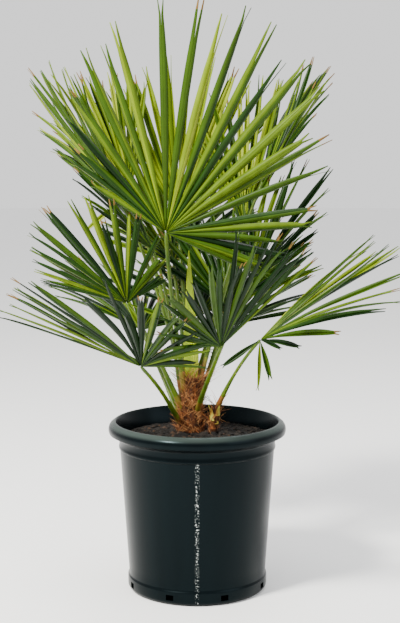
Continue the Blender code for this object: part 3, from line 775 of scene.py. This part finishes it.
def make_fan(frond, number, settings):
    """One fan of folded, split tipped leaflets in place of its solid blade."""
    chance = random.Random(700 + number)
    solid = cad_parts[f"blade_{frond.name}"].data
    tree = BVHTree.FromPolygons([vert.co.copy() for vert in solid.vertices],
                                [tuple(face.vertices) for face in solid.polygons])
    leaves = [(share, follow_solid(frond, leaf, tree)) for share, leaf in fan_leaflets(frond)]
    fanned = len(leaves)
    leaves += drooping(frond)
    points, faces, slots = [], [], []
    for place, (share, leaf) in enumerate(leaves):
        split = chance.choice((0.04, 0.07, 0.10, 0.16))
        curl = chance.uniform(-0.22, 0.16)
        roll = chance.uniform(-1.0, 1.0)
        dry = chance.choice((0, 0, 0, 0, 0, 0, 1, 1))
        # Each leaflet's tone follows its fan's tones, which hold painted light and shade, with a random
        # shift.
        tone = tone_at(frond.tones, share) * 5 + chance.uniform(-2.1, 1.1)
        for sign in (-1, 1):
            mate_place = place + sign
            mate = leaves[mate_place][1] if place < fanned and 0 <= mate_place < fanned else None
            # Painted light and shade: each half of the fold draws its own tone at random, standing in for a
            # lit half and a shaded half.
            slot = min(5, max(0, round(tone + chance.uniform(-0.9, 0.9))))
            lamina(points, faces, slots, frond, leaf, mate, sign, split, curl, roll, dry, slot)
    fan = object_from(f"fan_{frond.name}", points, faces, leaf_materials(settings), slots)
    wall = fan.modifiers.new("thickness", "SOLIDIFY")
    wall.thickness = settings.leaf_thickness
    wall.offset = 0.0
    return hand_over(fan, "blades", f"blade_{frond.name}")


def stalk_run(frond):
    """The middle line of a stalk, from inside its stem to the hub."""
    hub = Vector(frond.hub)
    aim = Vector(frond.aim).normalized()
    if frond.stem == "offshoot":
        foot = OFFSHOOT_TIP
        leave = ((hub - OFFSHOOT_TIP).normalized() * 0.8 + Vector((0, 0, 0.2))).normalized()
    else:
        turn = math.radians(frond.foot_turn)
        out = Vector((math.cos(turn), math.sin(turn), 0.0))
        share = (frond.foot_height - TRUNK_FOOT.z) / (TRUNK_TIP.z - TRUNK_FOOT.z)
        axis = TRUNK_FOOT.lerp(TRUNK_TIP, share)
        leave = ((hub - axis).normalized() * 0.8 + Vector((0, 0, 0.2))).normalized()
        foot = axis + out * (trunk_radius(frond.foot_height) - STALK_SINK)
    arrive = ((hub - foot).normalized() * 0.7 + aim * 0.3).normalized()
    grip = (hub - foot).length * 0.33
    return interpolate_bezier(foot, foot + leave * grip, hub - arrive * grip, hub, STALK_STATIONS)


def make_stalk(frond, number, settings):
    """One stalk: flatter above than below, and thorned along both edges."""
    chance = random.Random(300 + number)
    run = stalk_run(frond)
    aim = Vector(frond.aim).normalized()
    side_way = aim.cross(Vector(frond.face)).normalized()
    points = []
    for place, centre in enumerate(run):
        share = place / (len(run) - 1)
        way = (run[min(place + 1, len(run) - 1)] - run[max(place - 1, 0)]).normalized()
        side = (side_way - way * side_way.dot(way)).normalized()
        face = side.cross(way)
        swell = (STALK_FOOT_RADIUS - STALK_RADIUS) * max(0.0, 1 - 2.5 * share)
        radius = STALK_RADIUS + swell - 0.0006 * share
        if place == len(run) - 1:
            radius *= 0.55
        for corner in range(STALK_SIDES):
            turn = math.tau * corner / STALK_SIDES
            flat = 0.62 if math.sin(turn) > 0 else 0.95
            sideways = side * math.cos(turn) * radius
            points.append(centre + sideways + face * math.sin(turn) * radius * flat)
    faces = tube_faces(len(run), STALK_SIDES)
    walls = (len(run) - 1) * STALK_SIDES
    slots = [0 if place // STALK_SIDES > STALK_FOOT_RINGS else 1 for place in range(walls)] + [1, 0]
    thorns = int((run[-1] - run[0]).length / THORN_SPACING)
    for thorn in range(thorns):
        share = 0.14 + 0.80 * (thorn + chance.uniform(0.1, 0.9)) / thorns
        place = min(int(share * (len(run) - 1)), len(run) - 2)
        way = (run[place + 1] - run[place]).normalized()
        side = (side_way - way * side_way.dot(way)).normalized()
        sign = chance.choice((-1, 1))
        centre = run[place] + side * sign * THORN_SEAT
        heading = side * sign * 0.8 + way * 0.6
        tip = centre + heading * settings.thorn_length * chance.uniform(0.6, 1.1)
        face = side.cross(way)
        start = len(points)
        points.extend((centre - way * 0.0010, centre + way * 0.0010, centre + face * 0.0007, tip))
        faces.extend(((start, start + 1, start + 3), (start + 1, start + 2, start + 3),
                      (start + 2, start, start + 3), (start, start + 2, start + 1)))
        slots.extend((2,) * 4)
    bright, pale = tuple(settings.fresh_green), tuple(settings.pale_green)
    mid, brown = tuple(settings.mid_green), tuple(settings.fibre_brown)
    stalk = object_from(f"stalk_{frond.name}", points, faces, [
        finish("stalk_green", darker(bright, 0.9), mid, 60, 0.42, 0.15, 0.0004, (1, 1, 0.2)),
        finish("stalk_foot", darker(pale, 0.55), darker(brown, 0.5), 75, 0.55, 0.3, 0.0006, (1, 1, 0.3)),
        finish("thorn", (0.40, 0.36, 0.10), (0.20, 0.12, 0.03), 120, 0.5),
    ], slots)
    shape = bmesh.new()
    shape.from_mesh(stalk.data)
    bmesh.ops.recalc_face_normals(shape, faces=shape.faces)
    shape.to_mesh(stalk.data)
    shape.free()
    return hand_over(stalk, "petioles", f"petiole_{frond.name}")


class PALM_OT_pot(bpy.types.Operator):
    """Turn the nursery pot with its rolled rim, collar, foot band and drain holes"""

    bl_idname = "palm.pot"
    bl_label = "Pot"
    bl_options = {"REGISTER", "UNDO"}

    def execute(self, context):
        settings = context.scene.palm
        plastic = pot_finish(settings)
        section = turned(pot_section(), settings.pot_sides)
        pot = object_from_shape("pot_shell", section, [plastic], POT_SHARP_ANGLE)
        cut_drains(pot, plastic)
        pot.data.shade_smooth()
        pot.data.set_sharp_from_angle(angle=math.radians(POT_SHARP_ANGLE))
        hand_over(pot, "pot", "pot")
        return {"FINISHED"}


def soil_fall(reach, edge):
    """How far the soil has fallen at a distance from its middle: 0 on the flat top, 1 at the pot's wall."""
    return max(0.0, (reach - SOIL_FLAT_RADIUS) / (edge - SOIL_FLAT_RADIUS))


class PALM_OT_soil(bpy.types.Operator):
    """Lay the soil's uneven surface with crumbs and bark chips"""

    bl_idname = "palm.soil"
    bl_label = "Soil"
    bl_options = {"REGISTER", "UNDO"}

    def execute(self, context):
        settings = context.scene.palm
        chance = random.Random(11)
        edge = inner_radius(SOIL_EDGE) - 0.0005
        points, faces = [Vector((0, 0, SOIL_TOP - 0.001))], []
        rings, sides = 26, 110
        for ring in range(1, rings + 1):
            reach = edge * ring / rings
            for side in range(sides):
                turn = math.tau * side / sides
                fall = soil_fall(reach, edge)
                height = SOIL_TOP - 0.001 + fall * (SOIL_EDGE - SOIL_TOP)
                height = height + chance.uniform(-0.0016, 0.0016)
                height += 0.0014 * math.sin(turn * 5 + ring * 0.7) * math.sin(ring * 0.9)
                points.append(Vector((reach * math.cos(turn), reach * math.sin(turn), height)))
        for side in range(sides):
            turn = math.tau * side / sides
            points.append(Vector((edge * math.cos(turn), edge * math.sin(turn), SOIL_DEPTH)))
        for side in range(sides):
            after = (side + 1) % sides
            faces.append((0, 1 + side, 1 + after))
            for ring in range(rings):
                low = 1 + ring * sides
                faces.append((low + side, low + sides + side, low + sides + after, low + after))
        faces.append(tuple(1 + rings * sides + side for side in reversed(range(sides))))
        slots = [0] * len(faces)
        for number in range(settings.clod_count):
            reach = edge * math.sqrt(chance.uniform(0.0, 0.96))
            turn = chance.uniform(0, math.tau)
            fall = soil_fall(reach, edge)
            size = chance.uniform(0.0014, 0.0048) * (1.7 if reach < 0.075 else 1)
            centre = Vector((reach * math.cos(turn), reach * math.sin(turn),
                             SOIL_TOP + fall * (SOIL_EDGE - SOIL_TOP)))
            start = len(points)
            squash = (chance.uniform(0.6, 1.5), chance.uniform(0.5, 1.0), chance.uniform(0.35, 0.7))
            spin = Matrix.Rotation(chance.uniform(0, math.tau), 3, "Z")
            for corner in CLOD_CORNERS:
                away = Vector([value * size * part for value, part in zip(corner, squash)])
                points.append(centre + spin @ (away * chance.uniform(0.8, 1.2)))
            for side in range(5):
                first, second = start + 1 + side, start + 1 + (side + 1) % 5
                faces.extend(((start, first, second), (start + 6, second, first)))
                slots.extend((CLOD_TONES[number % len(CLOD_TONES)],) * 2)
        brown = tuple(settings.soil_brown)
        soil = object_from("soil_crumbs", points, faces, [
            finish("soil_dark", brown, darker(brown, 0.3), 210, 0.95, 0.8, 0.002),
            finish("soil_brown", darker(brown, 2.2), brown, 260, 0.92, 0.6, 0.0015),
            finish("bark_chip", (0.050, 0.024, 0.011), darker(brown, 1.2), 240, 0.88, 0.5, 0.001),
        ], slots, smooth=False)
        hand_over(soil, "soil", "soil")
        return {"FINISHED"}


class PALM_OT_trunk(bpy.types.Operator):
    """Build the short trunk from its core, old leaf bases and fibres"""

    bl_idname = "palm.trunk"
    bl_label = "Trunk"
    bl_options = {"REGISTER", "UNDO"}

    def execute(self, context):
        settings = context.scene.palm
        height = TRUNK_TIP.z - TRUNK_FOOT.z
        trunk = make_stem(
            "trunk_fibres", TRUNK_FOOT, TRUNK_TIP - Vector((0, 0, 0.012)),
            lambda share: trunk_radius(TRUNK_FOOT.z + share * height),
            20, settings.fibre_count, stem_materials(settings), 21, 1.1)
        hand_over(trunk, "trunk", "trunk")
        return {"FINISHED"}


class PALM_OT_offshoot(bpy.types.Operator):
    """Build the small side stem in its brown and orange sheaths"""

    bl_idname = "palm.offshoot"
    bl_label = "Offshoot"
    bl_options = {"REGISTER", "UNDO"}

    def execute(self, context):
        settings = context.scene.palm
        offshoot = make_stem(
            "offshoot_sheaths", OFFSHOOT_FOOT, OFFSHOOT_TIP,
            lambda share: 0.0085 - 0.0025 * share + 0.0015 * math.sin(math.pi * share),
            12, 90, stem_materials(settings), 33, 0.45)
        hand_over(offshoot, "offshoot", "offshoot")
        return {"FINISHED"}


class PALM_OT_spear(bpy.types.Operator):
    """Raise the folded new leaf out of the trunk's tip"""

    bl_idname = "palm.spear"
    bl_label = "Spear Leaf"
    bl_options = {"REGISTER", "UNDO"}

    def execute(self, context):
        foot = TRUNK_TIP + Vector((0, 0, -0.004))
        points = []
        rings, sides = 46, 36
        for ring in range(rings):
            share = ring / (rings - 1)
            for (low, wide), (high, narrow) in zip(SPEAR_PROFILE, SPEAR_PROFILE[1:]):
                if low <= share <= high:
                    width = wide + (narrow - wide) * (share - low) / (high - low)
            centre = foot.lerp(SPEAR_TIP, share)
            for side in range(sides):
                turn = math.tau * side / sides
                pleat = 1.0 if side % 2 else 0.84
                around = turn + share * 0.5
                wide_part = math.cos(around) * SPEAR_HALF_WIDTH * width * pleat
                deep_part = math.sin(around) * SPEAR_HALF_DEPTH * width * pleat
                points.append(centre + Vector((wide_part, deep_part, 0)))
        bright, shade = (0.36, 0.44, 0.012), (0.17, 0.27, 0.008)
        green = finish("spear_green", bright, shade, 40, 0.42, 0.2, 0.0004, (1, 1, 0.1))
        spear = object_from("spear_folds", points, tube_faces(rings, sides), [green], smooth=False)
        hand_over(spear, "spear", "spear_leaf")
        return {"FINISHED"}


class PALM_OT_stalks(bpy.types.Operator):
    """Grow every thorny stalk"""

    bl_idname = "palm.stalks"
    bl_label = "Stalks"
    bl_options = {"REGISTER", "UNDO"}

    def execute(self, context):
        for number, frond in enumerate(FRONDS):
            make_stalk(frond, number, context.scene.palm)
        return {"FINISHED"}


class PALM_OT_fans(bpy.types.Operator):
    """Grow every fan of folded leaflets"""

    bl_idname = "palm.fans"
    bl_label = "Fans"
    bl_options = {"REGISTER", "UNDO"}

    def execute(self, context):
        for number, frond in enumerate(FRONDS):
            make_fan(frond, number, context.scene.palm)
        return {"FINISHED"}


def area_light(name, place, target, size, power, colour):
    """A soft square light that looks at a point."""
    data = bpy.data.lights.new(name, "AREA")
    data.size = size
    data.energy = power
    data.color = colour
    light = bpy.data.objects.new(name, data)
    light.location = place
    light.rotation_euler = (Vector(target) - Vector(place)).to_track_quat("-Z", "Y").to_euler()
    bpy.context.scene.collection.objects.link(light)


class PALM_OT_stage(bpy.types.Operator):
    """Set the pale floor, the soft light and the camera"""

    bl_idname = "palm.stage"
    bl_label = "Stage"
    bl_options = {"REGISTER", "UNDO"}

    def execute(self, context):
        shape = bmesh.new()
        bmesh.ops.create_circle(shape, cap_ends=True, segments=96, radius=14.0)
        paper = bpy.data.materials.new("floor_paper")
        paper.use_nodes = True
        surface = paper.node_tree.nodes["Principled BSDF"]
        surface.inputs["Base Color"].default_value = (0.93, 0.93, 0.93, 1)
        surface.inputs["Roughness"].default_value = 0.9
        floor = object_from_shape("floor", shape, [paper])
        floor.location.z = -0.0005
        world = bpy.data.worlds.new("studio")
        world.use_nodes = True
        world.node_tree.nodes["Background"].inputs["Color"].default_value = (1.0, 1.0, 1.0, 1)
        world.node_tree.nodes["Background"].inputs["Strength"].default_value = 1.25
        context.scene.world = world
        area_light("key", (-1.5, -1.5, 2.6), (0.0, 0.0, 0.6), 0.5, 260, (1.0, 0.98, 0.90))
        area_light("fill", (2.0, -1.2, 1.4), (0.0, 0.0, 0.5), 1.6, 16, (0.95, 0.98, 1.0))
        area_light("top", (0.3, 1.2, 2.8), (0.0, 0.0, 0.7), 1.2, 40, (1.0, 1.0, 1.0))
        data = bpy.data.cameras.new("photo_camera")
        data.lens = 78.4
        data.sensor_width = 36.0
        camera = bpy.data.objects.new("photo_camera", data)
        camera.location = (0.005, -2.40, 0.805)
        camera.rotation_euler = (math.radians(90 - 7.2), 0.0, 0.0)
        context.scene.collection.objects.link(camera)
        context.scene.camera = camera
        return {"FINISHED"}


class PALM_PT_panel(bpy.types.Panel):
    """The palm's settings and its pieces"""

    bl_idname = "PALM_PT_panel"
    bl_label = "Potted Fan Palm"
    bl_space_type = "VIEW_3D"
    bl_region_type = "UI"
    bl_category = "Palm"

    def draw(self, context):
        settings = context.scene.palm
        for name in PalmSettings.__annotations__:
            self.layout.prop(settings, name)
        for operator in OPERATORS:
            self.layout.operator(operator.bl_idname)


OPERATORS = (
    PALM_OT_stage, PALM_OT_pot, PALM_OT_soil, PALM_OT_trunk, PALM_OT_offshoot, PALM_OT_spear,
    PALM_OT_stalks, PALM_OT_fans,
)


def register():
    """Register the settings, the operators and the panel."""
    bpy.utils.register_class(PalmSettings)
    for operator in OPERATORS:
        bpy.utils.register_class(operator)
    bpy.utils.register_class(PALM_PT_panel)
    bpy.types.Scene.palm = bpy.props.PointerProperty(type=PalmSettings)


def unregister():
    """Take them all away again."""
    del bpy.types.Scene.palm
    bpy.utils.unregister_class(PALM_PT_panel)
    for operator in reversed(OPERATORS):
        bpy.utils.unregister_class(operator)
    bpy.utils.unregister_class(PalmSettings)


def main():
    register()
    for operator in OPERATORS:
        group, name = operator.bl_idname.split(".")
        getattr(getattr(bpy.ops, group), name)()


if __name__ == "__main__":
    main()
